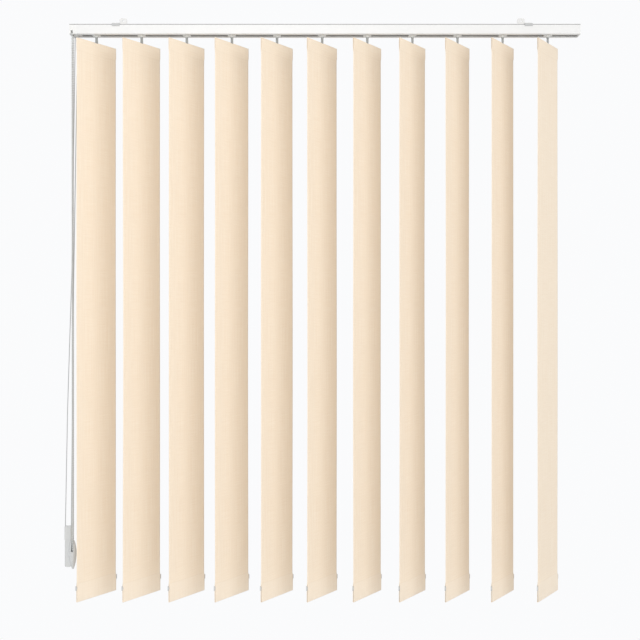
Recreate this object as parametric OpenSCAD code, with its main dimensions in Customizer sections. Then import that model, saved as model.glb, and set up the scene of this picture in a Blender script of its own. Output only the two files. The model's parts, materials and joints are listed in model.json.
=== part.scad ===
// Vertical blind: fabric vanes on worm-driven carriers in a channel rail, with a tilt chain and a draw cord.
// Millimetres. +Z is up and the blind faces -Y. The origin is on the wall, midway between the bracket holes.

/* [Vanes] */
// Number of vanes
vane_count = 11; // [4:1:11]
// Width of a vane
vane_w = 127; // [120:1:134]
// Length of a vane
vane_h = 1410; // [1380:5:1600]
// Overlap of two neighbouring vanes when closed flat
vane_overlap = 12; // [8:1:16]
// Angle between the vanes and the rail, as hung
rest_angle = 54; // [30:1:120]
// Thickness of the fabric
fabric_t = 0.5; // [0.4:0.05:0.7]
// Gap from the rail's underside to the top of a vane
vane_gap = 18; // [17:0.5:26]

/* [Head rail] */
// Depth of the rail, front to back
rail_d = 36; // [35:0.5:42]
// Height of the rail
rail_h = 26; // [26:0.5:32]
// Wall thickness of the rail
rail_wall = 1.4; // [1:0.1:1.5]
// Width of the slot along the underside
slot_w = 13; // [12:0.5:14]

/* [Brackets] */
// Distance of a bracket from the axis of the outer vane on its side
bracket_inset = 52.5; // [45:0.5:65]
// Distance from the wall to the middle of the rail
standoff = 75; // [74:1:120]
// Width of a bracket
bracket_w = 20; // [16:1:26]
// Height between the two screw holes of a bracket
hole_spacing = 20; // [16:1:26]
// Diameter of a screw hole
hole_d = 5.2; // [4:0.1:6]

/* [Drive] */
// Teeth on a worm wheel
wheel_teeth = 10; // [10:1:10]
// Module of the worm gear
gear_module = 0.9; // [0.9:0.05:0.9]
// Diameter of the fluted tilt rod, over its ribs
rod_d = 4.6; // [4.2:0.1:4.6]

/* [Controls] */
// Diameter of a chain bead
bead_d = 4.4; // [4:0.1:4.5]
// Distance between two beads
bead_pitch = 6; // [5.6:0.1:6.2]
// Diameter of the draw cord
cord_d = 2; // [1.6:0.1:2.4]
// Depth of the chain weight's top below the rail's underside
chain_drop = 1285; // [900:5:1300]
// Depth of the cord weight's top below the rail's underside
cord_drop = 1250; // [900:10:1260]

/* [Hidden] */
$fn = 48;

// Clearances
running_fit = 0.06;
slide_fit = 0.2;
loose_fit = 0.5;

// Row of vanes
pitch = vane_w - vane_overlap;
stations = [1 : vane_count];
row_half = (vane_count - 1) * pitch / 2;
function axis_x(i) = (i - 1) * pitch - row_half;

// Brackets
arm_t = 2;
clip_t = 1.2;
bend_r = 1.5;
bracket_round = 5;
margin_above = 7;
margin_below = 12;
rib_t = 3;
rib_reach = 12;
screw_r = 2;
bracket_x = row_half - bracket_inset;
arm_reach = standoff + rail_d / 2 - arm_t;

// Height levels, from the wall holes down
arm_top = -hole_spacing / 2 - margin_below;
leg_top = hole_spacing / 2 + margin_above;
rail_top = arm_top - arm_t - clip_t;
rail_bottom = rail_top - rail_h;
vane_top = rail_bottom - vane_gap;
vane_bottom = vane_top - vane_h;

// Rail
ledge_t = 1.6;
ledge_top = rail_bottom + ledge_t;
channel_w = 14;
channel_depth = 2.8;
ceiling = rail_top - channel_depth - rail_wall;
rail_inner = rail_d / 2 - rail_wall;
groove_r = 0.8;
groove_z = -1.8;
lip_h = 6;

// Ends of the rail
cover_t = 2;
housing_w = 16;
cap_t = 2;
left_end = -row_half - vane_w / 2 - 1.5;
right_end = row_half + vane_w / 2 + 15.5;
housing_left = left_end + cover_t;
rail_left = housing_left + housing_w;
rail_right = right_end - cap_t;

// Worm gear: wheel on the vane's axis, worm on the rod in front of it
wheel_r = gear_module * wheel_teeth / 2;
worm_r = 4.1;
worm_lead = PI * gear_module;
tooth_h = 0.8;
root_h = 1.2;
tooth_half = 0.5;
flank = 0.36;
wheel_face = 3.2;
rod_y = -(wheel_r + worm_r);
gear_z = rail_bottom + 12.4;
worm_len = 11;
thread_turns = 3;
hub_r = 3.4;
rib_w = 1.5;
rod_core_r = 1.7;

// Carrier
carrier_len = 20;
deck = gear_z + 5.4;
block_front = rod_y - 6.2;
block_back = 7.2;
post_back = block_back - 0.2;
wing_t = 2.2;
stem_r = 3.5;
boss_r = 5;
boss_drop = 3;
strip_w = 5;
strip_t = 0.35;
strip_step = 0.55;
strip_levels = 6;
strip_reach = pitch + 6;
strip_y = 3.5;

// Vane fittings
hanger_t = 1.6;
hanger_h = 25;
hanger_half = 60;
tab_w = 8;
fork_gap = 2;
prong_t = 1;
weight_t = 2.2;
weight_h = 40;
weight_half = 61;
weight_lift = 1.3;
pocket_fit = 0.2;
top_pocket_h = 32;
bottom_pocket_h = 46;
pocket_taper = 5;
pin_z = vane_top + 5.5;
pin_r = 1.5;

// Draw cord inside the rail: two strands, one over the other, around the return pulley
cord_r = cord_d / 2;
run_y = 12.4;
turn_r = 5.2;
pulley_x = rail_right - 14;
pulley_w = 4;
exit_out = housing_left + 5;
exit_in = exit_out + 6;

// Sprocket and chain: five pockets around the rod
pockets = 5;
sprocket_r = bead_pitch / (2 * sin(180 / pockets));
sprocket_w = bead_d + 2;
flange_r = sprocket_r + bead_d / 2;
chain_x = housing_left + sprocket_w / 2 + 0.8;
string_r = 0.7;

// Weights of the chain and the cord, which hang against each other
drop_r = 9.3;
drop_belly = 32;
drop_side_r = 110;
drop_tip_r = 2.6;
drop_fall = sqrt(pow(drop_side_r - drop_tip_r, 2) - pow(drop_side_r - drop_r, 2));
drop_tip = drop_belly + drop_fall;
drop_meet = drop_belly + drop_fall * drop_side_r / (drop_side_r - drop_tip_r);
drop_y = -6;
drop_x = chain_x;
drop_top = rail_bottom - chain_drop;
drop_loop_r = 4;
drop_seat = 20;
drop_loop_z = drop_top - drop_seat;
slab_w = 19;
slab_t = 10;
slab_h = 104;
slab_head = 35;
slab_step = 0.7;
slab_x = drop_x - 14.5;
slab_y = 5.2;
slab_top = rail_bottom - cord_drop;
slab_cord = 7.5;
slab_loop_z = slab_top - 10;

function two(i) = i < 10 ? str("0", i) : str(i);

// Placing helpers

// Runs a profile drawn as (depth, height) along X, from x0 to x1
module along_x(x0, x1)
    translate([x0, 0, 0]) rotate([90, 0, 90]) linear_extrude(x1 - x0) children();

// Moves to the middle plane of the rail
module on_rail() translate([0, -standoff, 0]) children();

// Moves to the axis of one vane
module at_station(i) translate([axis_x(i), -standoff, 0]) children();

// Box between two corners
module box(a, b) translate(a) cube(b - a);

// Cylinder along X
module rod_x(x0, x1, r) translate([x0, 0, 0]) rotate([0, 90, 0]) cylinder(r = r, h = x1 - x0);

// Rectangle about the height axis with its lower and upper corners rounded
module rounded_rect(w, z0, z1, r0, r1) {
    translate([-w / 2, z0 + r0]) square([w, z1 - z0 - r0 - r1]);
    translate([-w / 2 + r0, z0]) square([w - 2 * r0, r0 + 0.01]);
    translate([-w / 2 + r1, z1 - r1 - 0.01]) square([w - 2 * r1, r1 + 0.01]);
    for (side = [-1, 1]) {
        translate([side * (w / 2 - r0), z0 + r0]) circle(r0);
        translate([side * (w / 2 - r1), z1 - r1]) circle(r1);
    }
}

// Head rail

// Outer shape of the rail and its ends, with a groove below each top edge that the clips snap into
module rail_outline()
    difference() {
        rounded_rect(rail_d, rail_bottom, rail_top, 2.5, 1.2);
        for (side = [-1, 1])
            translate([side * rail_d / 2, rail_top + groove_z]) circle(groove_r);
    }

module rail_profile()
    difference() {
        rail_outline();
        // Channel along the top for the clip screws
        translate([-channel_w / 2, rail_top - channel_depth]) square([channel_w, channel_depth + 1]);
        // Hollow for the carriers
        translate([-rail_inner, ledge_top]) square([2 * rail_inner, ceiling - ledge_top]);
        for (side = [-1, 1])
            translate([side > 0 ? channel_w / 2 + rail_wall : -rail_inner, ceiling - 1])
                square([rail_inner - channel_w / 2 - rail_wall, rail_top - rail_wall - ceiling + 1]);
        // Slot for the stems
        translate([-slot_w / 2, rail_bottom - 1]) square([slot_w, ledge_t + 2]);
    }

module head_rail()
    color("white") on_rail() along_x(rail_left, rail_right) rail_profile();

// Rail ends

// Fluted section of the rod: a core with three ribs
module rod_section(fit = 0) {
    circle(rod_core_r + fit);
    for (a = [0, 120, 240])
        rotate(a) intersection() {
            circle(rod_d / 2 + fit);
            translate([0, -rib_w / 2 - fit]) square([rod_d, rib_w + 2 * fit]);
        }
}

module control_housing()
    color("white") on_rail() difference() {
        union() {
            along_x(housing_left, rail_left) rail_outline();
            // Plug that holds the end inside the rail
            box([rail_left - 1, -5.5, ledge_top + 0.1], [rail_left + 10, 8.5, ceiling - 0.1]);
        }
        // Chamber of the sprocket, closed by the cover, and the bearing of the rod
        translate([0, rod_y, gear_z]) {
            rod_x(housing_left - 1, chain_x + sprocket_w / 2 + loose_fit, flange_r + loose_fit);
            rod_x(housing_left, rail_left + 11, rod_d / 2 + running_fit);
        }
        // Slots where the chain comes out
        for (side = [-1, 1])
            translate([chain_x, rod_y + side * sprocket_r, rail_bottom - 1])
                cylinder(d = bead_d + 2 * loose_fit, h = gear_z - rail_bottom);
        // Notch that shows the front strand
        box([chain_x - bead_d / 2 - loose_fit, -rail_d / 2 - 1, rail_bottom - 1],
            [chain_x + bead_d / 2 + loose_fit, rod_y - sprocket_r, gear_z - 3]);
        // Pocket where the cord turns down
        box([exit_out - cord_r - loose_fit, run_y - cord_r - loose_fit, rail_bottom - 1],
            [rail_left + 1, run_y + cord_r + loose_fit, gear_z + turn_r + cord_r + loose_fit]);
    }

module control_cover()
    color("white") on_rail() difference() {
        along_x(left_end, housing_left) rail_outline();
        // Blind bearing of the rod's end
        translate([0, rod_y, gear_z]) rod_x(housing_left - 1.2, housing_left + 1, rod_d / 2 + running_fit);
    }

module return_end_cap()
    color("white") on_rail() difference() {
        union() {
            along_x(rail_right, right_end) rail_outline();
            // Block with the bearing of the rod
            box([rail_right - 10, rod_y - 5, gear_z - 5], [rail_right + 1, rod_y + 5, gear_z + 5]);
            // Cheeks that carry the return pulley
            for (side = [-1, 1])
                box([pulley_x - 4, run_y + side * (pulley_w / 2 + 1) - 0.7, gear_z - 4],
                    [rail_right + 1, run_y + side * (pulley_w / 2 + 1) + 0.7, gear_z + 4]);
        }
        translate([0, rod_y, gear_z]) rod_x(rail_right - 11, rail_right - 1, rod_d / 2 + running_fit);
        translate([pulley_x, run_y - 5, gear_z]) rotate([-90, 0, 0]) cylinder(r = pin_r, h = 10);
    }

module return_pulley_pin()
    color("silver") on_rail() translate([pulley_x, run_y - pulley_w / 2 - 1.7, gear_z])
        rotate([-90, 0, 0]) cylinder(r = pin_r, h = pulley_w + 3.4);

module return_pulley()
    color("whitesmoke") on_rail() translate([pulley_x, run_y, gear_z]) rotate([90, 0, 0]) rotate_extrude()
        difference() {
            translate([pin_r + running_fit, -pulley_w / 2]) square([turn_r + 1, pulley_w]);
            translate([turn_r, 0]) circle(cord_r + slide_fit);
            translate([turn_r, -cord_r - slide_fit]) square([turn_r, 2 * cord_r + 2 * slide_fit]);
        }

// Brackets

module at_brackets() for (side = [-1, 1]) translate([side * bracket_x, 0, 0]) children();

// Bent strip, drawn as (depth, height): a leg on the wall and an arm over the rail
module bracket_strip() {
    translate([-arm_t, arm_top + bend_r - 0.01]) square([arm_t, leg_top - arm_top - bend_r + 0.01]);
    translate([-arm_reach, arm_top - arm_t]) square([arm_reach - arm_t - bend_r + 0.01, arm_t]);
    translate([-arm_t - bend_r, arm_top + bend_r]) intersection() {
        difference() {
            circle(bend_r + arm_t);
            circle(bend_r);
        }
        translate([0, -bend_r - arm_t]) square(bend_r + arm_t);
    }
}

module wall_brackets()
    color("white") at_brackets() difference() {
        union() {
            // The strip, with its two ends rounded
            intersection() {
                along_x(-bracket_w / 2, bracket_w / 2) bracket_strip();
                translate([0, 0, arm_top - 2 * arm_t]) linear_extrude(leg_top - arm_top + 4 * arm_t)
                    rounded_rect(bracket_w, -arm_reach, 2 * bracket_round, bracket_round, bracket_round);
                translate([0, 1, 0]) rotate([90, 0, 0]) linear_extrude(arm_reach + 2)
                    rounded_rect(bracket_w, arm_top - arm_t - 2 * bracket_round, leg_top,
                                 bracket_round, bracket_round);
            }
            // Rib that stiffens the bend
            rotate([90, 0, 90]) linear_extrude(rib_t, center = true)
                polygon([[-arm_t - rib_reach, arm_top], [-arm_t, arm_top + margin_above],
                         [-arm_t * 0.75, arm_top + margin_above], [-arm_t * 0.75, arm_top + bend_r],
                         [-arm_t * 1.5, arm_top - arm_t / 4], [-arm_t - rib_reach, arm_top - arm_t / 4]]);
        }
        for (side = [-1, 1])
            translate([0, 1, side * hole_spacing / 2]) rotate([90, 0, 0]) cylinder(d = hole_d, h = arm_t + 2);
        translate([0, -standoff, arm_top - arm_t - 1]) cylinder(r = screw_r + 0.15, h = arm_t + 2);
    }

module rail_clips()
    color("white") at_brackets() on_rail() difference() {
        along_x(-bracket_w / 2, bracket_w / 2) {
            translate([-rail_d / 2 - 0.1 - clip_t, rail_top]) square([rail_d + 0.2 + 2 * clip_t, clip_t]);
            for (side = [-1, 1]) {
                translate([side * (rail_d / 2 + 0.1 + clip_t / 2) - clip_t / 2, rail_top - lip_h])
                    square([clip_t, clip_t + lip_h]);
                translate([side * (rail_d / 2 + 0.1), rail_top + groove_z]) circle(groove_r - 0.25);
            }
        }
        translate([0, 0, rail_top - 1]) cylinder(r = screw_r + 0.15, h = clip_t + 2);
    }

module clip_screws()
    color("silver") at_brackets() on_rail() {
        // Screw, its head in the rail's channel
        translate([0, 0, rail_top - 2.3]) cylinder(r = 3.6, h = 2.3);
        translate([0, 0, rail_top - 0.01]) cylinder(r = screw_r, h = clip_t + arm_t + 4.4);
        // Nut on the bracket
        translate([0, 0, arm_top]) difference() {
            cylinder(d = 8.08, h = 3.2, $fn = 6);
            translate([0, 0, -1]) cylinder(r = screw_r + 0.05, h = 6);
        }
    }

// Tilt drive

module tilt_rod()
    color("silver") on_rail() translate([0, rod_y, gear_z])
        along_x(housing_left - 1, rail_right - 1.5) rod_section();

module chain_sprocket()
    color("whitesmoke") on_rail() translate([0, rod_y, gear_z]) difference() {
        rod_x(chain_x - sprocket_w / 2, chain_x + sprocket_w / 2, flange_r);
        // Pockets for the beads, and the groove for the string between them
        for (k = [1 : pockets])
            rotate([k * 360 / pockets, 0, 0]) translate([chain_x, sprocket_r, 0]) sphere(d = bead_d + 0.3);
        translate([chain_x, 0, 0]) rotate([0, 90, 0]) rotate_extrude()
            translate([sprocket_r - 0.8, -1]) square([flange_r, 2]);
        along_x(chain_x - sprocket_w, chain_x + sprocket_w) rod_section(0.01);
    }

// Straight run of beads on a string, upward along Z, made in short stretches
module bead_run(length) {
    beads = floor(length / bead_pitch);
    for (first = [0 : stretch : beads - 1])
        translate([0, 0, first * bead_pitch]) rotate_extrude()
            bead_stretch(min(stretch, beads - first));
}
stretch = 12;

module bead_stretch(beads)
    intersection() {
        union() {
            square([string_r, beads * bead_pitch]);
            for (k = [1 : beads])
                translate([0, (k - 0.5) * bead_pitch]) circle(d = bead_d);
        }
        square([bead_d, beads * bead_pitch]);
    }

// Puts a run along Z onto the line from a to b
module between(a, b) {
    d = b - a;
    translate(a) rotate([0, acos(d.z / norm(d)), atan2(d.y, d.x)]) children();
}

module tilt_chain()
    color("whitesmoke") on_rail() for (side = [-1, 1]) {
        low = [drop_x, drop_y + side * drop_loop_r, drop_loop_z];
        high = [chain_x, rod_y + side * sprocket_r, gear_z - flange_r - 1];
        between(low, high) bead_run(norm(high - low));
    }

module chain_weight()
    color("whitesmoke") on_rail() translate([drop_x, drop_y, drop_top]) difference() {
        // Long sides drawn with one radius, which runs into a small round tip
        rotate_extrude() {
            intersection() {
                translate([drop_r - drop_side_r, -drop_belly]) circle(drop_side_r, $fn = 360);
                translate([0, -drop_meet]) square([drop_r + 1, drop_meet]);
            }
            intersection() {
                translate([0, -drop_tip]) circle(drop_tip_r);
                translate([0, -drop_tip - drop_tip_r]) square([drop_tip_r + 1, drop_tip_r]);
            }
        }
        // Slot that the chain runs through, and the seat of its loop
        box([-bead_d / 2 - loose_fit, -drop_r, -drop_seat - drop_loop_r - bead_d / 2 - loose_fit],
            [bead_d / 2 + loose_fit, drop_r, 1]);
    }

// One worm, its thread a helix around the rod; thread and wheel mesh behind the rod
function thread_point(x, r, a) = [x, r * cos(a), r * sin(a)];
function thread_ring(k, n) =
    let (a = k * 360 / n, x = worm_lead * (k / n - thread_turns / 2),
         low = worm_r - root_h - 0.2, high = worm_r + tooth_h,
         wide = tooth_half + (root_h + 0.2) * flank, thin = tooth_half - tooth_h * flank)
    [thread_point(x - wide, low, a), thread_point(x - thin, high, a),
     thread_point(x + thin, high, a), thread_point(x + wide, low, a)];

module worm_thread(n) {
    rings = thread_turns * n;
    points = [for (k = [0 : rings]) each thread_ring(k, n)];
    sides = [for (k = [0 : rings - 1], j = [0 : 3])
        let (p = 4 * k + j, q = 4 * k + (j + 1) % 4) each [[p, q, p + 4], [q, q + 4, p + 4]]];
    last = 4 * rings;
    ends = [[0, 2, 1], [0, 3, 2], [last, last + 1, last + 2], [last, last + 2, last + 3]];
    polyhedron(points = points, faces = concat(sides, ends), convexity = 6);
}

module worm(i)
    color("whitesmoke") at_station(i) translate([0, rod_y, gear_z]) difference() {
        union() {
            rod_x(-carrier_len / 2, carrier_len / 2, worm_r - root_h);
            worm_thread(12);
            for (side = [-1, 1])
                rod_x(side * (carrier_len / 2 + worm_len / 2 + 0.5) / 2 - 1.9,
                      side * (carrier_len / 2 + worm_len / 2 + 0.5) / 2 + 1.9, hub_r);
        }
        along_x(-carrier_len, carrier_len) rod_section(running_fit);
    }

// Section of a carrier, drawn as (depth, height)
module carrier_section() {
    // Shoes that slide on the rail's ledges, and the guide between them in the slot
    translate([-rail_inner + loose_fit, ledge_top + slide_fit]) square([2 * (rail_inner - loose_fit), wing_t]);
    translate([-slot_w / 2 + loose_fit, rail_bottom]) square([slot_w - 2 * loose_fit, ledge_t + wing_t]);
    // Block that holds the gear
    translate([(block_front + block_back) / 2, 0])
        rounded_rect(block_back - block_front, ledge_top + 1, deck, 0.5, 1.2);
}

// One carrier, with the spacer strip that reaches over the next one
module carrier(i)
    color("whitesmoke") at_station(i) {
        difference() {
            union() {
                along_x(-carrier_len / 2, carrier_len / 2) carrier_section();
                // Boss below the rail, where the stem comes out
                translate([0, 0, rail_bottom - boss_drop]) cylinder(r = boss_r, h = boss_drop + 4);
                // Post of the spacer strip
                if (i < vane_count)
                    box([-3, strip_y + strip_w / 2 + slide_fit, deck - 2], [3, post_back, strip_z(i) + strip_t]);
                // Grip on the draw cord, on the leading carrier
                if (i == vane_count)
                    box([-4, run_y - cord_r - 1.4, ledge_top + slide_fit],
                        [4, run_y + cord_r + 1.4, gear_z - turn_r + cord_r + 1.2]);
            }
            // Bore of the stem and the pocket of its wheel
            translate([0, 0, rail_bottom - boss_drop - 1]) cylinder(r = stem_r + running_fit, h = 20);
            translate([0, 0, gear_z - wheel_face / 2 - 0.4])
                cylinder(r = wheel_r + tooth_h + loose_fit, h = 20);
            // Chamber of the worm and the snap saddles of its hubs, open at the top
            translate([0, rod_y, gear_z]) {
                rod_x(-worm_len / 2 - loose_fit, worm_len / 2 + loose_fit, worm_r + tooth_h + 0.4);
                rod_x(-carrier_len, carrier_len, hub_r + running_fit);
            }
            box([-worm_len / 2 - loose_fit, rod_y - worm_r - tooth_h - 0.4, gear_z],
                [worm_len / 2 + loose_fit, rod_y + worm_r + tooth_h + 0.4, deck + 1]);
            box([-carrier_len, rod_y - 3, gear_z], [carrier_len, rod_y + 3, deck + 1]);
            if (i == vane_count)
                translate([-10, run_y, gear_z - turn_r]) rod_x(0, 20, cord_r + 0.4);
        }
        // Spacer strip, at a level of its own so that the stacked strips lie over each other
        if (i < vane_count) {
            box([-3, strip_y - strip_w / 2, strip_z(i)],
                [strip_reach, strip_y + strip_w / 2, strip_z(i) + strip_t]);
            box([-3, strip_y, strip_z(i)], [3, post_back, strip_z(i) + strip_t]);
        }
    }
function strip_z(i) = deck + 0.3 + strip_step * ((i - 1) % strip_levels);

// Vanes

// Turns a vane to the angle at which it hangs
module hung() rotate([0, 0, rest_angle]) children();

// Plate in the plane of the vane, drawn as (width, height)
module vane_plate(t) rotate([90, 0, 0]) linear_extrude(t, center = true) children();

// Teeth of the worm wheel, around the stem; one of them points at the worm
module wheel_teeth_ring()
    for (k = [1 : wheel_teeth])
        rotate([0, 0, k * 360 / wheel_teeth - 90]) linear_extrude(wheel_face, center = true)
            polygon([[wheel_r - root_h - 0.5, -0.8], [wheel_r, -tooth_half], [wheel_r + tooth_h, -0.15],
                     [wheel_r + tooth_h, 0.15], [wheel_r, tooth_half], [wheel_r - root_h - 0.5, 0.8]]);

module hook_stem() {
    fork_top = rail_bottom - boss_drop - 0.4;
    fork_half = tab_w / 2 - 1.4;
    fork_t = fork_gap / 2 + prong_t;
    translate([0, 0, gear_z]) wheel_teeth_ring();
    translate([0, 0, fork_top - 2.4]) cylinder(r = stem_r, h = gear_z + wheel_face / 2 - fork_top + 2.4);
    // Fork over the hanger's tab, and its pin
    hung() {
        for (side = [-1, 1])
            box([-fork_half, side * (fork_t - prong_t / 2) - prong_t / 2, pin_z - 3],
                [fork_half, side * (fork_t - prong_t / 2) + prong_t / 2, fork_top - 1]);
        translate([0, 0, pin_z]) rotate([90, 0, 0]) cylinder(r = pin_r, h = 2 * fork_t - 0.6, center = true);
    }
}

module hanger()
    hung() vane_plate(hanger_t) difference() {
        union() {
            rounded_rect(2 * hanger_half, vane_top - 1 - hanger_h, vane_top - 1, 4, 2);
            rounded_rect(tab_w, vane_top - 4, vane_top + 9, 1, 3);
        }
        translate([0, pin_z]) circle(pin_r + 0.15);
    }

module bottom_weight()
    hung() vane_plate(weight_t) {
        rounded_rect(2 * weight_half, vane_bottom + weight_lift, vane_bottom + weight_lift + weight_h, 3, 3);
        // Lugs at the upper corners, outside the pocket
        for (side = [-1, 1]) {
            translate([side * (weight_half + 2.5) - 3, vane_bottom + weight_h - 6.5]) square([6, 4]);
            translate([side * (vane_w / 2 + 2.6) - 1.1, vane_bottom + weight_h - 10]) square([2.2, 11]);
        }
    }

module vane_fittings(i)
    color("whitesmoke") at_station(i) {
        hook_stem();
        hanger();
        bottom_weight();
    }

// Section of a vane, drawn as (thickness, height): one sheet that widens into a folded pocket at each end
bottom_in = weight_t / 2 + pocket_fit;
top_in = hanger_t / 2 + pocket_fit;
bottom_out = bottom_in + fabric_t;
top_out = top_in + fabric_t;
bottom_fold = vane_bottom + bottom_out;
top_fold = vane_top - top_out;
bottom_seam = vane_bottom + bottom_pocket_h;
top_seam = vane_top - top_pocket_h;

module vane_outline() {
    half = [[bottom_out, bottom_fold], [bottom_out, bottom_seam - pocket_taper], [fabric_t / 2, bottom_seam],
            [fabric_t / 2, top_seam], [top_out, top_seam + pocket_taper], [top_out, top_fold]];
    polygon(concat(half, [for (k = [len(half) - 1 : -1 : 0]) [-half[k].x, half[k].y]]));
    translate([0, bottom_fold]) circle(bottom_out);
    translate([0, top_fold]) circle(top_out);
}

module vane_section()
    difference() {
        vane_outline();
        translate([0, bottom_fold]) circle(bottom_in);
        polygon([[-bottom_in, bottom_fold], [bottom_in, bottom_fold], [bottom_in, bottom_seam - pocket_taper],
                 [0, bottom_seam - 1.5], [-bottom_in, bottom_seam - pocket_taper]]);
        translate([0, top_fold]) circle(top_in);
        polygon([[-top_in, top_fold], [-top_in, top_seam + pocket_taper], [0, top_seam + 1.5],
                 [top_in, top_seam + pocket_taper], [top_in, top_fold]]);
    }

module vane(i)
    color("bisque") at_station(i) hung() difference() {
        along_x(-vane_w / 2, vane_w / 2) vane_section();
        // Slit in the top fold for the hanger's tab
        box([-tab_w / 2 - 1, -hanger_t / 2 - 0.25, vane_top - 3],
            [tab_w / 2 + 1, hanger_t / 2 + 0.25, vane_top + 1]);
    }

// Draw cord

// Strand of the cord inside the rail, from the pulley to the bend above its exit
module cord_strand(x, z) {
    translate([x + turn_r, run_y, z]) rod_x(0, pulley_x - x - turn_r, cord_r);
    translate([x + turn_r, run_y, z - turn_r]) rotate([90, 0, 0]) rotate_extrude(angle = 90, start = 90)
        translate([turn_r, 0]) circle(cord_r);
    translate([x, run_y, rail_bottom]) cylinder(r = cord_r, h = z - turn_r - rail_bottom);
}

module draw_cord_run()
    color("gainsboro") on_rail() {
        cord_strand(exit_out, gear_z + turn_r);
        cord_strand(exit_in, gear_z - turn_r);
        translate([pulley_x, run_y, gear_z]) rotate([90, 0, 0]) rotate_extrude(angle = 180, start = -90)
            translate([turn_r, 0]) circle(cord_r);
    }

// Route of the hanging loop: down one strand, around inside the weight and up the other
slab_l = [slab_x - slab_cord, slab_y];
slab_r = [slab_x + slab_cord, slab_y];
route = concat(
    [[exit_out, run_y, rail_bottom],
     [exit_out - 1, run_y, rail_bottom - 0.064 * cord_drop],
     [exit_out - 8, run_y - 2, rail_bottom - 0.48 * cord_drop],
     [exit_out - 18, run_y - 5, rail_bottom - 0.76 * cord_drop],
     [slab_l.x, slab_l.y, slab_top + 4],
     [slab_l.x, slab_l.y, slab_loop_z]],
    [for (a = [-165 : 15 : -15])
        [slab_x + slab_cord * cos(a), slab_y, slab_loop_z + slab_cord * sin(a)]],
    [[slab_r.x, slab_r.y, slab_loop_z],
     [slab_r.x, slab_r.y, slab_top + 4],
     [exit_in - 10, run_y - 4, rail_bottom - 0.56 * cord_drop],
     [exit_in - 1, run_y, rail_bottom - 0.064 * cord_drop],
     [exit_in, run_y, rail_bottom]]);

// Tube through a list of points, all of which lie near one upright plane
function unit(v) = v / norm(v);
function way(pts, k) =
    unit(pts[min(k + 1, len(pts) - 1)] - pts[max(k - 1, 0)]);
module tube(pts, r, n = 8) {
    last = len(pts) - 1;
    rings = [for (k = [0 : last])
        let (t = way(pts, k), u = unit(cross(t, [0, 1, 0])), v = cross(u, t))
        each [for (j = [0 : n - 1]) pts[k] + r * (cos(j * 360 / n) * u + sin(j * 360 / n) * v)]];
    sides = [for (k = [0 : last - 1], j = [0 : n - 1])
        let (p = n * k + j, q = n * k + (j + 1) % n) each [[p, p + n, q], [q, p + n, q + n]]];
    polyhedron(points = rings,
        faces = concat(sides, [[for (j = [0 : n - 1]) j]], [[for (j = [n - 1 : -1 : 0]) n * last + j]]));
}

module draw_cord()
    color("gainsboro") on_rail() tube(route, cord_r);

// Upright bar from z0 to z1 with rounded edges and rounded ends
module slab_bar(w, t, z0, z1, r0, r1)
    intersection() {
        rotate([90, 0, 0]) linear_extrude(t, center = true) rounded_rect(w, z0, z1, r0, r1);
        translate([0, 0, z0]) linear_extrude(z1 - z0) rounded_rect(w, -t / 2, t / 2, 4, 4);
    }

module cord_weight()
    color("whitesmoke") on_rail() translate([slab_x, slab_y, slab_top]) difference() {
        // Head that holds the cord, and the slimmer body below it
        union() {
            slab_bar(slab_w, slab_t, -slab_head, 0, 1, 2);
            slab_bar(slab_w - 2 * slab_step, slab_t - 2 * slab_step, -slab_h, -slab_head + 4, 5, 1);
        }
        // Way of the cord
        for (side = [-1, 1])
            translate([side * slab_cord, 0, slab_loop_z - slab_top]) cylinder(r = cord_r + 0.4, h = 20);
        translate([0, 0, slab_loop_z - slab_top]) rotate([90, 0, 0]) rotate_extrude(angle = 180, start = 180)
            translate([slab_cord, 0]) circle(cord_r + 0.4);
    }

// Assembly

head_rail();
control_housing();
control_cover();
return_end_cap();
return_pulley();
return_pulley_pin();
wall_brackets();
rail_clips();
clip_screws();
tilt_rod();
chain_sprocket();
tilt_chain();
chain_weight();
draw_cord();
draw_cord_run();
cord_weight();
for (i = stations) {
    carrier(i);
    worm(i);
    vane_fittings(i);
    vane(i);
}
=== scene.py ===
import json
import math
import random

import bpy
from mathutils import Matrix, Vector


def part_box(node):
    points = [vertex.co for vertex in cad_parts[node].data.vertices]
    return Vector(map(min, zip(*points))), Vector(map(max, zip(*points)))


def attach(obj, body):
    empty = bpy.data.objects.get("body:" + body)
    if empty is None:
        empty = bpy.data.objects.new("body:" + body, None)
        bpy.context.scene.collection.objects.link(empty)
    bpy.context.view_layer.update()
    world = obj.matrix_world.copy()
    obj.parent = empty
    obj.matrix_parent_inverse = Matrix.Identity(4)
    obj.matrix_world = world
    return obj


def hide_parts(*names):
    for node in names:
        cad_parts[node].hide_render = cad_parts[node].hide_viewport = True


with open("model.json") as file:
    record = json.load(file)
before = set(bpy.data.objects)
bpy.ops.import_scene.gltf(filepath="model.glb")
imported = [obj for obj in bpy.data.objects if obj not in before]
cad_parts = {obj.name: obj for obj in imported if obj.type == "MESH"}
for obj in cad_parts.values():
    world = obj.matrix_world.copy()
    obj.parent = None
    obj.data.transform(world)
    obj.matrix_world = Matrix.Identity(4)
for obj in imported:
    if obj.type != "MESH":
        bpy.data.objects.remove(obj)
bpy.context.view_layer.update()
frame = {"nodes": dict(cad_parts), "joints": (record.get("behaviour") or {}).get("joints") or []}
nodes = frame["nodes"]
joints = {joint["name"]: joint for joint in frame["joints"]}

MM = 0.001

# The photograph: its size, the height of the eye line in it, and the lens that fits its perspective
PHOTO_PX = 640
EYE_LINE_PX = 310
FOCAL_PX = 934
SENSOR_MM = 36

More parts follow.
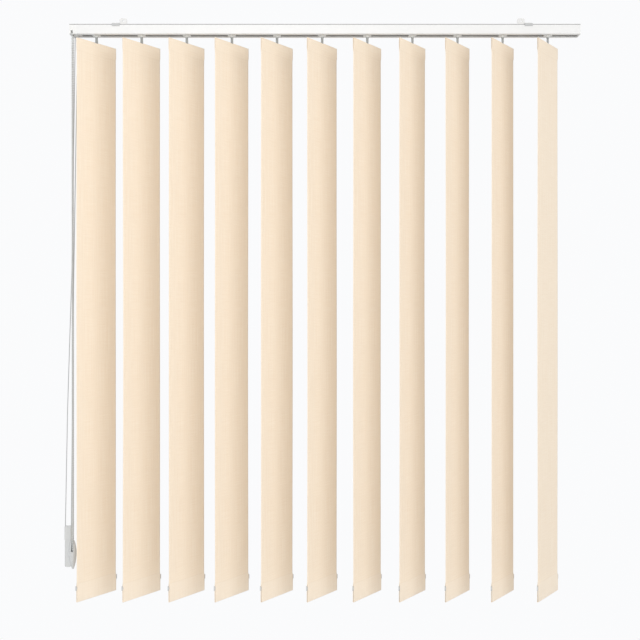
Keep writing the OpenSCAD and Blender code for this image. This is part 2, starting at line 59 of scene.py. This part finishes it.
# Sizes repeated from the solids, in metres
STATIONS = range(1, 12)
VANE_W = 127 * MM
REST_ANGLE = math.radians(54)
FABRIC_T = 0.5 * MM
TOP_POCKET_H = 32 * MM
BOTTOM_POCKET_H = 46 * MM
POCKET_TAPER = 5 * MM
FLAP = 4 * MM
FOLD_EDGE = 1.5 * MM
HANGER_T = 1.6 * MM
WEIGHT_T = 2.2 * MM
POCKET_FIT = 0.2 * MM
SLIT_HALF = 5 * MM
CORD_D = 2 * MM
BEAD_D = 4.4 * MM
BEAD_PITCH = 6 * MM
STRING_D = 1.4 * MM
CORD_DROP = 1250 * MM
CHAIN_DROP = 1285 * MM

# Places taken from the frame
rail_low, rail_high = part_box("head_rail")
vane_low, vane_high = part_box("vane_01")
RAIL_Y = (rail_low[1] + rail_high[1]) / 2
RAIL_BOTTOM = rail_low[2]
RAIL_TOP = rail_high[2]
VANE_TOP = vane_high[2]
VANE_BOTTOM = vane_low[2]
VANE_MIDDLE = (VANE_TOP + VANE_BOTTOM) / 2


def vane_name(kind, i):
    return f"{kind}_{i:02d}"


def vane_axis(i):
    """Point on the turning axis of vane i."""
    return Vector(joints[vane_name("vane", i) + "_tilt"]["pos_m"])


# Camera, floor and light

CAMERA_X = -5.6 * MM
CAMERA_DISTANCE = 2.381
CAMERA_DROP = 0.7244


def make_camera():
    """Level camera at the photograph's eye line, straight in front of the blind."""
    data = bpy.data.cameras.new("photo_camera")
    data.sensor_width = SENSOR_MM
    data.lens = FOCAL_PX / PHOTO_PX * SENSOR_MM
    data.shift_y = (EYE_LINE_PX - PHOTO_PX / 2) / PHOTO_PX
    camera = bpy.data.objects.new("photo_camera", data)
    camera.location = (CAMERA_X, RAIL_Y - CAMERA_DISTANCE, RAIL_TOP - CAMERA_DROP)
    camera.rotation_euler = (math.radians(90), 0, 0)
    bpy.context.scene.collection.objects.link(camera)
    bpy.context.scene.camera = camera


def link_mesh(name, verts, faces, material):
    """A smooth mesh object in the scene."""
    mesh = bpy.data.meshes.new(name)
    mesh.from_pydata(verts, [], faces)
    mesh.validate()
    for polygon in mesh.polygons:
        polygon.use_smooth = True
    mesh.materials.append(material)
    obj = bpy.data.objects.new(name, mesh)
    bpy.context.scene.collection.objects.link(obj)
    return obj


FLOOR_Z = -2.05
FLOOR_BACK = 1.1
FLOOR_FRONT = -6.0
FLOOR_HALF = 5.0


def make_floor(material):
    """Plain floor below the blind, just out of the photograph's frame."""
    verts = [(-FLOOR_HALF, FLOOR_FRONT, FLOOR_Z), (FLOOR_HALF, FLOOR_FRONT, FLOOR_Z),
             (FLOOR_HALF, FLOOR_BACK, FLOOR_Z), (-FLOOR_HALF, FLOOR_BACK, FLOOR_Z)]
    link_mesh("floor", verts, [(0, 1, 2, 3)], material)


LIT_POINT = (0, RAIL_Y, -0.75)
WARM_WHITE = (1.0, 0.985, 0.965)
SOFT_WHITE = (1.0, 0.99, 0.975)


def area_light(name, place, size, watts, colour):
    """A rectangular lamp that points at the middle of the blind."""
    data = bpy.data.lights.new(name, "AREA")
    data.shape = "RECTANGLE"
    data.size, data.size_y = size
    data.energy = watts
    data.color = colour
    lamp = bpy.data.objects.new(name, data)
    lamp.location = place
    lamp.rotation_euler = (Vector(LIT_POINT) - Vector(place)).to_track_quat("-Z", "Y").to_euler()
    bpy.context.scene.collection.objects.link(lamp)


def make_lights():
    """Each vane hides the wide lamp at the right from its neighbour's far edge, which shades the vanes."""
    area_light("key_right", (4.2, -4.4, 0.8), (4.6, 2.8), 97, WARM_WHITE)
    area_light("key_left", (-0.5, -3.6, 0.3), (2.0, 2.0), 62, WARM_WHITE)
    area_light("fill_left", (-3.0, -3.2, 0.4), (2.4, 2.4), 12, SOFT_WHITE)


BACKGROUND = 0.975
AMBIENT = 0.56


def make_world():
    """Even soft light all around; what is seen of it directly is a pale plain background."""
    world = bpy.data.worlds.new("studio")
    world.use_nodes = True
    tree = world.node_tree
    lit = tree.nodes["Background"]
    lit.inputs["Color"].default_value = (0.97, 0.985, 1.0, 1)
    lit.inputs["Strength"].default_value = AMBIENT
    seen = tree.nodes.new("ShaderNodeBackground")
    seen.inputs["Color"].default_value = (0.985, 0.99, 1.0, 1)
    seen.inputs["Strength"].default_value = BACKGROUND
    light_path = tree.nodes.new("ShaderNodeLightPath")
    direct = light_path.outputs["Is Camera Ray"]
    for kind in ("Is Glossy Ray", "Is Transmission Ray"):
        either = tree.nodes.new("ShaderNodeMath")
        either.operation = "MAXIMUM"
        tree.links.new(direct, either.inputs[0])
        tree.links.new(light_path.outputs[kind], either.inputs[1])
        direct = either.outputs[0]
    mix = tree.nodes.new("ShaderNodeMixShader")
    tree.links.new(direct, mix.inputs["Fac"])
    tree.links.new(lit.outputs["Background"], mix.inputs[1])
    tree.links.new(seen.outputs["Background"], mix.inputs[2])
    tree.links.new(mix.outputs["Shader"], tree.nodes["World Output"].inputs["Surface"])
    bpy.context.scene.world = world


# Materials

# Period in metres of a wave texture of scale 1
WAVE_PERIOD = 0.31416


class Recipe:
    """A new material with its Principled shader, and short ways to add and join nodes."""

    def __init__(self, name, colour, roughness):
        self.material = bpy.data.materials.new(name)
        self.material.use_nodes = True
        self.tree = self.material.node_tree
        self.shader = self.tree.nodes["Principled BSDF"]
        self.shader.inputs["Base Color"].default_value = (*colour, 1)
        self.shader.inputs["Roughness"].default_value = roughness

    def set(self, socket, value):
        self.shader.inputs[socket].default_value = value

    def node(self, kind, **settings):
        made = self.tree.nodes.new(kind)
        for key, value in settings.items():
            if key in made.inputs:
                made.inputs[key].default_value = value
            else:
                setattr(made, key, value)
        return made

    def join(self, source, target):
        self.tree.links.new(source, target)

    def coordinates(self, kind, scale):
        """Texture coordinates, stretched by scale."""
        place = self.node("ShaderNodeTexCoord")
        mapping = self.node("ShaderNodeMapping")
        mapping.inputs["Scale"].default_value = scale
        self.join(place.outputs[kind], mapping.inputs["Vector"])
        return mapping.outputs["Vector"]

    def noise(self, where, scale, detail):
        made = self.node("ShaderNodeTexNoise", Scale=scale, Detail=detail)
        self.join(where, made.inputs["Vector"])
        return made.outputs["Fac"]

    def bands(self, where, period, direction):
        """Fine threads: a sine of the given period in metres."""
        made = self.node("ShaderNodeTexWave", Scale=WAVE_PERIOD / period, wave_type="BANDS",
                         bands_direction=direction, wave_profile="SIN")
        self.join(where, made.inputs["Vector"])
        return made.outputs["Fac"]

    def maths(self, operation, a, b):
        made = self.node("ShaderNodeMath", operation=operation)
        for socket, value in zip(made.inputs, (a, b)):
            if isinstance(value, (int, float)):
                socket.default_value = value
            else:
                self.join(value, socket)
        return made.outputs[0]

    def part(self, vector, axis):
        """One coordinate of a vector."""
        made = self.node("ShaderNodeSeparateXYZ")
        self.join(vector, made.inputs["Vector"])
        return made.outputs[axis]

    def distance(self, value, from_here):
        return self.maths("ABSOLUTE", self.maths("SUBTRACT", value, from_here), 0)

    def between(self, factor, low, high):
        """Colour that goes from low to high with factor; low can be another node's output."""
        made = self.node("ShaderNodeMix", data_type="RGBA")
        self.join(factor, made.inputs["Factor"])
        ends = [socket for socket in made.inputs if socket.type == "RGBA"]
        if isinstance(low, tuple):
            ends[0].default_value = (*low, 1)
        else:
            self.join(low, ends[0])
        ends[1].default_value = (*high, 1)
        return [out for out in made.outputs if out.type == "RGBA"][0]

    def weighed(self, first, second):
        """Sum of two values, each given with its weight."""
        return self.maths("ADD", self.maths("MULTIPLY", *first), self.maths("MULTIPLY", *second))

    def span(self, factor, low, high):
        """Factor from 0 to 1, mapped to low to high."""
        made = self.node("ShaderNodeMapRange")
        self.join(factor, made.inputs["Value"])
        made.inputs["To Min"].default_value = low
        made.inputs["To Max"].default_value = high
        return made.outputs["Result"]

    def bump(self, height, distance, strength):
        made = self.node("ShaderNodeBump", Distance=distance, Strength=strength)
        self.join(height, made.inputs["Height"])
        self.join(made.outputs["Normal"], self.shader.inputs["Normal"])

    def colour(self, output):
        self.join(output, self.shader.inputs["Base Color"])

    def roughness(self, output):
        self.join(output, self.shader.inputs["Roughness"])


SEAM_HALF = 1.1 * MM
WELD_PITCH = 3.2 * MM
THREAD_PITCH = 0.9 * MM


def vane_fabric(low_seam, top_seam):
    """Plain woven vane cloth: crossed threads, slubs along both, a matt finish, a welded seam at each hem.

    The seams are given as lengths along the cloth from its lower end.
    """
    recipe = Recipe("vane_fabric", (0.93, 0.81, 0.65), 0.88)
    cloth = recipe.coordinates("UV", (1, 1, 1))
    run = recipe.part(cloth, "Y")
    in_hem = recipe.maths("LESS_THAN", run, low_seam)
    off_seam = recipe.maths("MINIMUM", recipe.distance(run, low_seam), recipe.distance(run, top_seam))
    weld = recipe.maths("MULTIPLY", recipe.maths("LESS_THAN", off_seam, SEAM_HALF),
                        recipe.bands(cloth, WELD_PITCH, "X"))
    warp = recipe.bands(cloth, THREAD_PITCH, "X")
    weft = recipe.bands(cloth, THREAD_PITCH, "Y")
    weave = recipe.maths("MULTIPLY", warp, weft)
    streak = recipe.noise(recipe.coordinates("UV", (420, 9, 1)), 1.0, 4.0)
    slub = recipe.noise(recipe.coordinates("UV", (22, 700, 1)), 1.0, 4.0)
    threads = recipe.weighed((streak, 0.5), (slub, 0.5))
    tone = recipe.weighed((threads, 0.8), (weave, 0.2))
    plain = recipe.between(recipe.span(tone, -0.4, 1.4), (0.85, 0.705, 0.54), (0.97, 0.876, 0.745))
    lined = recipe.between(recipe.maths("MULTIPLY", in_hem, 0.2), plain, (0.9, 0.82, 0.72))
    recipe.colour(recipe.between(recipe.maths("MULTIPLY", weld, 0.25), lined, (0.74, 0.62, 0.47)))
    cloth_height = recipe.weighed((weave, 0.7), (threads, 0.6))
    height = recipe.maths("SUBTRACT", cloth_height, recipe.maths("MULTIPLY", weld, 1.5))
    recipe.bump(height, 0.25 * MM, 0.35)
    recipe.set("Sheen Weight", 0.12)
    recipe.set("Sheen Roughness", 0.5)
    recipe.set("Specular IOR Level", 0.2)
    return recipe.material


def white_paint():
    """Powder coat on metal: white, satin, with a fine orange peel."""
    recipe = Recipe("white_paint", (0.705, 0.705, 0.7), 0.38)
    where = recipe.coordinates("Object", (1, 1, 1))
    peel = recipe.noise(where, 900, 2.0)
    cloud = recipe.noise(where, 14, 3.0)
    recipe.colour(recipe.between(cloud, (0.69, 0.69, 0.685), (0.72, 0.72, 0.715)))
    recipe.roughness(recipe.span(cloud, 0.32, 0.46))
    recipe.bump(peel, 0.1 * MM, 0.12)
    return recipe.material


PLASTIC_GRAIN = 1200
PLASTIC_CLOUD = 40


def moulded_plastic(name, low, high, rough):
    """Moulded plastic with a fine spark-eroded grain."""
    recipe = Recipe(name, high, rough)
    where = recipe.coordinates("Object", (1, 1, 1))
    texture = recipe.noise(where, PLASTIC_GRAIN, 2.0)
    cloud = recipe.noise(where, PLASTIC_CLOUD, 3.0)
    recipe.colour(recipe.between(cloud, low, high))
    recipe.roughness(recipe.span(cloud, rough - 0.06, rough + 0.08))
    recipe.bump(texture, 0.06 * MM, 0.15)
    return recipe.material


def drawn_metal(name, low, high, rough, axis_scale):
    """Metal with fine lines along its length."""
    recipe = Recipe(name, high, rough)
    recipe.set("Metallic", 1.0)
    lines = recipe.noise(recipe.coordinates("Object", axis_scale), 1.0, 3.0)
    recipe.colour(recipe.between(lines, low, high))
    recipe.roughness(recipe.span(lines, rough - 0.08, rough + 0.12))
    recipe.bump(lines, 0.02 * MM, 0.2)
    return recipe.material


STRAND_PITCH = 1.2 * MM


def braided_cord():
    """Braided polyester: two crossing sets of slanted strands."""
    recipe = Recipe("cord_braid", (0.46, 0.47, 0.48), 0.8)
    left = recipe.bands(recipe.coordinates("Object", (1.4, 1.4, 1)), STRAND_PITCH, "DIAGONAL")
    right = recipe.bands(recipe.coordinates("Object", (-1.4, -1.4, 1)), STRAND_PITCH, "DIAGONAL")
    strands = recipe.maths("MAXIMUM", left, right)
    recipe.colour(recipe.between(strands, (0.3, 0.31, 0.32), (0.5, 0.51, 0.52)))
    recipe.bump(strands, 0.2 * MM, 0.5)
    recipe.set("Sheen Weight", 0.2)
    return recipe.material


def floor_paint():
    """Matt pale floor with a faint unevenness."""
    recipe = Recipe("floor_paint", (0.86, 0.865, 0.87), 0.9)
    cloud = recipe.noise(recipe.coordinates("Object", (1, 1, 1)), 1.5, 2.0)
    recipe.colour(recipe.between(cloud, (0.85, 0.855, 0.86), (0.87, 0.875, 0.88)))
    return recipe.material


# Cord and chain

EXIT_OUT_X = -633 * MM
EXIT_IN_X = -627 * MM
RUN_Y = RAIL_Y + 12.4 * MM
SLAB_X = -648.5 * MM
SLAB_Y = RAIL_Y + 5.2 * MM
SLAB_TOP = RAIL_BOTTOM - CORD_DROP
SLAB_SEAT = 10 * MM
SLAB_LOOP_Z = SLAB_TOP - SLAB_SEAT
SLAB_CORD = 7.5 * MM
SLAB_LEAD = 4 * MM
HALF_TURN = [math.radians(a) for a in range(-165, -14, 15)]

# Each strand from its exit down, in mm: how far left of the exit, in front of it and below it
OUT_STRAND = [(0, 0, 0), (0.3, 0, 30), (1, 0, 80), (8, 2, 600), (18, 5, 950)]
IN_STRAND = [(0, 0, 0), (0.3, 0, 30), (1, 0, 80), (10, 4, 700)]


def strand(exit_x, offsets):
    """Points of one strand in metres, from its exit at the rail down."""
    return [(exit_x - left * MM, RUN_Y - front * MM, RAIL_BOTTOM - below * MM)
            for left, front, below in offsets]


def cord_route():
    """The hanging loop: down one strand, around inside the weight and up the other."""
    left = SLAB_X - SLAB_CORD
    right = SLAB_X + SLAB_CORD
    turn = [(SLAB_X + SLAB_CORD * math.cos(a), SLAB_Y, SLAB_LOOP_Z + SLAB_CORD * math.sin(a))
            for a in HALF_TURN]
    return [
        *strand(EXIT_OUT_X, OUT_STRAND),
        (left, SLAB_Y, SLAB_TOP + SLAB_LEAD),
        (left, SLAB_Y, SLAB_LOOP_Z),
        *turn,
        (right, SLAB_Y, SLAB_LOOP_Z),
        (right, SLAB_Y, SLAB_TOP + SLAB_LEAD),
        *reversed(strand(EXIT_IN_X, IN_STRAND)),
    ]


def make_cord(name, points, diameter, material):
    """A round cord along the points, fixed to the rail."""
    data = bpy.data.curves.new(name, "CURVE")
    data.dimensions = "3D"
    data.bevel_depth = diameter / 2
    data.bevel_resolution = 4
    data.use_fill_caps = True
    spline = data.splines.new("POLY")
    spline.points.add(len(points) - 1)
    for point, place in zip(spline.points, points):
        point.co = (*place, 1)
    data.materials.append(material)
    cord = bpy.data.objects.new(name, data)
    bpy.context.scene.collection.objects.link(cord)
    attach(cord, "rail_unit")
    return cord


def draw_cord(material):
    """The draw cord's hanging loop, in place of its plain solid."""
    route = cord_route()
    cord = make_cord("draw_cord_loop", route, CORD_D, material)
    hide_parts("draw_cord")


# The chain hangs from the sprocket on the rod and runs through its weight
CHAIN_X = -634 * MM
ROD_Y = RAIL_Y - 8.6 * MM
GEAR_Z = RAIL_BOTTOM + 12.4 * MM
SPROCKET_POCKETS = 5
SPROCKET_R = BEAD_PITCH / (2 * math.sin(math.pi / SPROCKET_POCKETS))
SPROCKET_CLEAR = 1 * MM
CHAIN_TOP = GEAR_Z - SPROCKET_R - BEAD_D / 2 - SPROCKET_CLEAR
DROP_Y = RAIL_Y - 6 * MM
DROP_LOOP_R = 4 * MM
DROP_SEAT = 20 * MM
DROP_LOOP_Z = RAIL_BOTTOM - CHAIN_DROP - DROP_SEAT


def chain_route():
    """Down the front strand, around the weight's seat and up the back strand."""
    turn = [(CHAIN_X, DROP_Y + DROP_LOOP_R * math.cos(a), DROP_LOOP_Z + DROP_LOOP_R * math.sin(a))
            for a in HALF_TURN]
    return [
        (CHAIN_X, ROD_Y - SPROCKET_R, CHAIN_TOP),
        (CHAIN_X, DROP_Y - DROP_LOOP_R, DROP_LOOP_Z),
        *turn,
        (CHAIN_X, DROP_Y + DROP_LOOP_R, DROP_LOOP_Z),
        (CHAIN_X, ROD_Y + SPROCKET_R, CHAIN_TOP),
    ]


def points_along(route, step):
    """Points at equal steps along a route of straight stretches."""
    found = []
    left = step / 2
    for a, b in zip(route, route[1:]):
        a, b = Vector(a), Vector(b)
        length = (b - a).length
        while left <= length:
            found.append(a + (b - a) * (left / length))
            left += step
        left -= length
    return found


BEAD_RINGS = 8
BEAD_SIDES = 12


def bead_mesh():
    """Verts and faces of one round bead about the origin."""
    r = BEAD_D / 2
    verts = [(0, 0, -r)]
    for k in range(1, BEAD_RINGS):
        a = math.pi * k / BEAD_RINGS - math.pi / 2
        verts += [(r * math.cos(a) * math.cos(2 * math.pi * j / BEAD_SIDES),
                   r * math.cos(a) * math.sin(2 * math.pi * j / BEAD_SIDES),
                   r * math.sin(a)) for j in range(BEAD_SIDES)]
    verts.append((0, 0, r))
    last = len(verts) - 1
    faces = []
    for j in range(BEAD_SIDES):
        nxt = (j + 1) % BEAD_SIDES
        faces.append((0, 1 + nxt, 1 + j))
        for k in range(BEAD_RINGS - 2):
            low = 1 + k * BEAD_SIDES
            faces.append((low + j, low + nxt, low + BEAD_SIDES + nxt, low + BEAD_SIDES + j))
        top = 1 + (BEAD_RINGS - 2) * BEAD_SIDES
        faces.append((top + j, top + nxt, last))
    return verts, faces


def tilt_chain(bead_material, string_material):
    """The tilt chain as beads on a string, in place of its plain solid."""
    route = chain_route()
    string = make_cord("tilt_chain_string", route, STRING_D, string_material)
    bead_verts, bead_faces = bead_mesh()
    verts, faces = [], []
    for place in points_along(route, BEAD_PITCH):
        first = len(verts)
        verts += [Vector(v) + place for v in bead_verts]
        faces += [tuple(first + k for k in face) for face in bead_faces]
    beads = link_mesh("tilt_chain_beads", verts, faces, bead_material)
    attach(beads, "rail_unit")
    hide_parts("tilt_chain")


# Vanes

PANEL_ROWS = 48
FOLD_STEPS = 8
SLIT_EDGE = 2 * SLIT_HALF / VANE_W
COLUMNS = [-1, -0.97, -0.8, -0.6, -0.4, -0.2, -SLIT_EDGE, 0, SLIT_EDGE, 0.2, 0.4, 0.6, 0.8, 0.97, 1]


def pocket_side(fold_z, out, up):
    """Half round of a fold: points (thickness, height) from the back layer to the front layer."""
    turn = [math.pi * k / FOLD_STEPS for k in range(FOLD_STEPS + 1)]
    return [(-out * math.cos(a), fold_z - up * out * math.sin(a)) for a in turn]


def vane_path():
    """The fabric's middle line as (thickness, height, in a fold or not), from bottom flap to top flap."""
    low_out = WEIGHT_T / 2 + POCKET_FIT + FABRIC_T / 2
    top_out = HANGER_T / 2 + POCKET_FIT + FABRIC_T / 2
    low_seam = VANE_BOTTOM + BOTTOM_POCKET_H
    top_seam = VANE_TOP - TOP_POCKET_H
    low_fold = VANE_BOTTOM + low_out + FABRIC_T / 2
    top_fold = VANE_TOP - top_out - FABRIC_T / 2
    path = [(-FABRIC_T, low_seam + FLAP, False), (-FABRIC_T, low_seam, False),
            (-low_out, low_seam - POCKET_TAPER, False), (-low_out, low_fold + FOLD_EDGE, False)]
    path += [(n, z, True) for n, z in pocket_side(low_fold, low_out, 1)]
    path += [(low_out, low_fold + FOLD_EDGE, False), (low_out, low_seam - POCKET_TAPER, False)]
    for k in range(PANEL_ROWS + 1):
        path.append((0, low_seam + (top_seam - low_seam) * k / PANEL_ROWS, False))
    path += [(top_out, top_seam + POCKET_TAPER, False), (top_out, top_fold - FOLD_EDGE, False)]
    path += [(n, z, True) for n, z in reversed(pocket_side(top_fold, top_out, -1))]
    path += [(-top_out, top_fold - FOLD_EDGE, False), (-top_out, top_seam + POCKET_TAPER, False),
             (-FABRIC_T, top_seam, False), (-FABRIC_T, top_seam - FLAP, False)]
    return path


def path_run(path):
    """Length along the path at each of its points."""
    runs = [0]
    for (n0, z0, _), (n1, z1, _) in zip(path, path[1:]):
        runs.append(runs[-1] + math.hypot(n1 - n0, z1 - z0))
    return runs


def seam_runs():
    """Lengths along the cloth at which the flat panel starts and ends."""
    path = vane_path()
    flat = [run for (n, _, _), run in zip(path, path_run(path)) if n == 0]
    return flat[0], flat[-1]


BOW = 0.9 * MM


def cloth_waves(i):
    """Strengths of the three gentle waves in vane i."""
    pick = random.Random(i)
    return [pick.uniform(-1, 1) for _ in range(3)]


def panel_bow(u, z, waves):
    """Slight, smooth unevenness of the hanging cloth, none at the pockets."""
    low = VANE_BOTTOM + BOTTOM_POCKET_H + FLAP
    high = VANE_TOP - TOP_POCKET_H - FLAP
    s = min(max((z - low) / (high - low), 0), 1)
    a, b, c = waves
    long_wave = a * math.sin(math.pi * s) + 0.5 * b * math.sin(2 * math.pi * s)
    return BOW * math.sin(math.pi * s) * (long_wave + c * u * math.sin(math.pi * s))


def make_vane(i, material):
    """One strip of cloth, folded to a pocket at either end, with a slit in the top fold for the hook."""
    axis = vane_axis(i)
    along = Vector((math.cos(REST_ANGLE), math.sin(REST_ANGLE), 0))
    out = Vector((math.sin(REST_ANGLE), -math.cos(REST_ANGLE), 0))
    path = vane_path()
    runs = path_run(path)
    waves = cloth_waves(i)
    verts, uvs = [], []
    for (n, z, _), run in zip(path, runs):
        for u in COLUMNS:
            side = u * VANE_W / 2
            off = n + panel_bow(u, z, waves)
            verts.append((axis.x + side * along.x + off * out.x, axis.y + side * along.y + off * out.y, z))
            uvs.append((side, run))
    width = len(COLUMNS)
    faces = []
    for k in range(len(path) - 1):
        for j in range(width - 1):
            in_slit = abs(COLUMNS[j] + COLUMNS[j + 1]) * VANE_W / 4 < SLIT_HALF
            at_top = path[k][2] and path[k + 1][2] and path[k][1] > VANE_MIDDLE
            if in_slit and at_top:
                continue
            first = k * width + j
            faces.append((first, first + 1, first + width + 1, first + width))
    vane = link_mesh(vane_name("vane_cloth", i), verts, faces, material)
    layer = vane.data.uv_layers.new(name="cloth")
    for loop in vane.data.loops:
        layer.data[loop.index].uv = uvs[loop.vertex_index]
    solid = vane.modifiers.new("thickness", "SOLIDIFY")
    solid.thickness = FABRIC_T
    solid.offset = 0
    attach(vane, vane_name("vane_body", i))
    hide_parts(vane_name("vane", i))


# Finish of the rigid pieces

def dress(names, material):
    """One material for all of each named solid."""
    for name in names:
        slots = nodes[name].data.materials
        slots.clear()
        slots.append(material)


def dress_fittings(hook, weight):
    """Grey hook and hanger, pale bottom weight: all three are solids of one node."""
    for i in STATIONS:
        name = vane_name("vane_fittings", i)
        dress([name], hook)
        mesh = nodes[name].data
        mesh.materials.append(weight)
        to_world = nodes[name].matrix_world
        for polygon in mesh.polygons:
            if (to_world @ polygon.center).z < VANE_BOTTOM + BOTTOM_POCKET_H:
                polygon.material_index = 1


RAIL_HALF = (rail_high[1] - rail_low[1]) / 2
GROOVE_Z = RAIL_TOP - 1.8 * MM
GROOVE_REACH = 0.84 * MM
FACE_SLACK = 0.02 * MM


def paint_groove_shade(names, material):
    """Painted shade in the groove along the rail's top edges: a grey material on the groove's faces, seen
    as a thin grey line.
    """
    for name in names:
        mesh = nodes[name].data
        mesh.materials.append(material)
        to_world = nodes[name].matrix_world
        for polygon in mesh.polygons:
            centre = to_world @ polygon.center
            depth = RAIL_HALF - abs(centre.y - RAIL_Y)
            if depth > FACE_SLACK and math.hypot(depth, centre.z - GROOVE_Z) < GROOVE_REACH:
                polygon.material_index = 1


def dress_rigid():
    """Materials of everything that isn't cord, chain or cloth."""
    paint = white_paint()
    plastic = moulded_plastic("white_plastic", (0.7, 0.7, 0.69), (0.75, 0.75, 0.74), 0.42)
    gear = moulded_plastic("gear_plastic", (0.7, 0.7, 0.68), (0.78, 0.78, 0.76), 0.36)
    hook = moulded_plastic("hook_plastic", (0.34, 0.35, 0.35), (0.42, 0.43, 0.42), 0.24)
    weight = moulded_plastic("weight_plastic", (0.6, 0.61, 0.61), (0.67, 0.68, 0.68), 0.2)
    # The rail clips are white; this grey over the whole clip is painted shade, standing for the shadow
    # lines at their edges.
    clip_shade = moulded_plastic("clip_painted_shade", (0.4, 0.405, 0.405), (0.46, 0.465, 0.465), 0.4)
    # Grey for the faces of the rail's top groove: painted shade, a thin dark line where the groove lies in
    # shade.
    seam = moulded_plastic("groove_painted_shade", (0.32, 0.32, 0.32), (0.38, 0.38, 0.38), 0.6)
    steel = drawn_metal("steel", (0.5, 0.5, 0.5), (0.68, 0.68, 0.68), 0.34, (300, 300, 300))
    rod = drawn_metal("rod_aluminium", (0.66, 0.66, 0.67), (0.8, 0.8, 0.81), 0.32, (6, 900, 900))
    dress(["head_rail", "wall_brackets"], paint)
    dress(["rail_clips"], clip_shade)
    dress(["control_housing", "control_cover", "return_end_cap"], plastic)
    paint_groove_shade(["head_rail", "control_housing", "control_cover", "return_end_cap"], seam)
    dress(["return_pulley", "chain_sprocket"], gear)
    dress([vane_name(kind, i) for i in STATIONS for kind in ("carrier", "worm")], gear)
    dress_fittings(hook, weight)
    dress(["chain_weight", "cord_weight"], weight)
    dress(["return_pulley_pin", "clip_screws"], steel)
    dress(["tilt_rod"], rod)


make_camera()
cord_material = braided_cord()
draw_cord(cord_material)
dress(["draw_cord_run"], cord_material)
bead_plastic = moulded_plastic("chain_plastic", (0.58, 0.6, 0.59), (0.68, 0.7, 0.69), 0.2)
tilt_chain(bead_plastic, cord_material)
cloth_material = vane_fabric(*seam_runs())
for station in STATIONS:
    make_vane(station, cloth_material)
dress_rigid()
make_floor(floor_paint())
make_lights()
make_world()
bpy.context.scene.view_settings.view_transform = "Standard"
